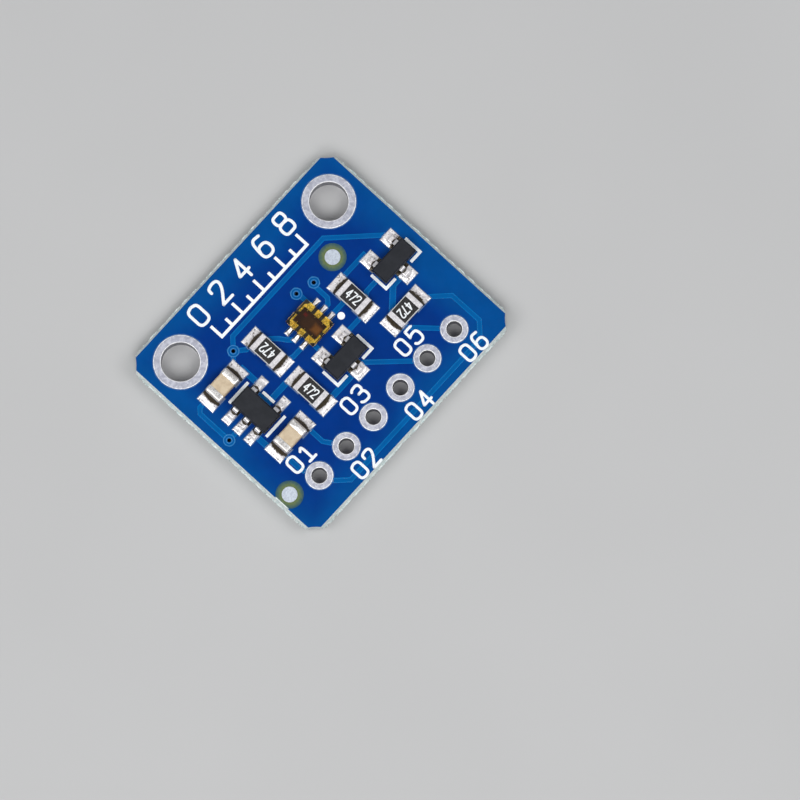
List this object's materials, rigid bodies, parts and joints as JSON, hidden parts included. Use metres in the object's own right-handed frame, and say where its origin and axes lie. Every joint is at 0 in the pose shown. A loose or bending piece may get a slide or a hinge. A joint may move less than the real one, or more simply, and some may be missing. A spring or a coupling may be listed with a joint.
{
  "type": "light sensor module",
  "caption": "Small blue circuit board with a clear light sensor, regulator, transistors and chip parts, two mounting holes and a row of pin holes.",
  "frame": {"origin": "middle of the underside, on the tinned rings that it rests on", "axes": "+X along the row of pin holes, +Y from the pin holes towards the mounting holes, +Z out of the populated face"},
  "size_m": [0.019, 0.0166, 0.0027],
  "materials": {
    "laminate": "matte",
    "solder_mask": "gloss",
    "copper": "satin",
    "tinned_copper": "satin",
    "solder": "gloss",
    "white_print": "matte",
    "moulding": "satin",
    "tinned_leads": "satin",
    "alumina": "matte",
    "resistor_coat": "gloss",
    "resistor_terminals": "satin",
    "capacitor_ceramic": "satin",
    "capacitor_caps": "satin",
    "clear_resin": "gloss",
    "silicon_die": "gloss",
    "gold_frame": "gloss"
  },
  "bodies": {
    "root": {"capacitor_1_caps": "capacitor_caps", "capacitor_1_ceramic": "capacitor_ceramic", "capacitor_1_solder": "solder", "capacitor_2_caps": "capacitor_caps", "capacitor_2_ceramic": "capacitor_ceramic", "capacitor_2_solder": "solder", "component_lands": "tinned_copper", "fiducial_dots": "tinned_copper", "ground_pour": "copper", "header_eyelet_1": "tinned_copper", "header_eyelet_2": "tinned_copper", "header_eyelet_3": "tinned_copper", "header_eyelet_4": "tinned_copper", "header_eyelet_5": "tinned_copper", "header_eyelet_6": "tinned_copper", "laminate": "laminate", "mounting_eyelet_left": "tinned_copper", "mounting_eyelet_right": "tinned_copper", "regulator_body": "moulding", "regulator_leads": "tinned_leads", "regulator_solder": "solder", "resistor_1_coat": "resistor_coat", "resistor_1_solder": "solder", "resistor_1_substrate": "alumina", "resistor_1_terminals": "resistor_terminals", "resistor_2_coat": "resistor_coat", "resistor_2_solder": "solder", "resistor_2_substrate": "alumina", "resistor_2_terminals": "resistor_terminals", "resistor_3_coat": "resistor_coat", "resistor_3_solder": "solder", "resistor_3_substrate": "alumina", "resistor_3_terminals": "resistor_terminals", "resistor_4_coat": "resistor_coat", "resistor_4_solder": "solder", "resistor_4_substrate": "alumina", "resistor_4_terminals": "resistor_terminals", "sensor_body": "clear_resin", "sensor_bond_wires": "gold_frame", "sensor_contacts": "gold_frame", "sensor_die": "silicon_die", "sensor_paddle": "gold_frame", "sensor_solder": "solder", "solder_mask_bottom": "solder_mask", "solder_mask_top": "solder_mask", "tracks_bottom": "copper", "tracks_top": "copper", "transistor_1_body": "moulding", "transistor_1_leads": "tinned_leads", "transistor_1_solder": "solder", "transistor_2_body": "moulding", "transistor_2_leads": "tinned_leads", "transistor_2_solder": "solder", "vias": "copper", "white_print": "white_print"}
  },
  "joints": []
}
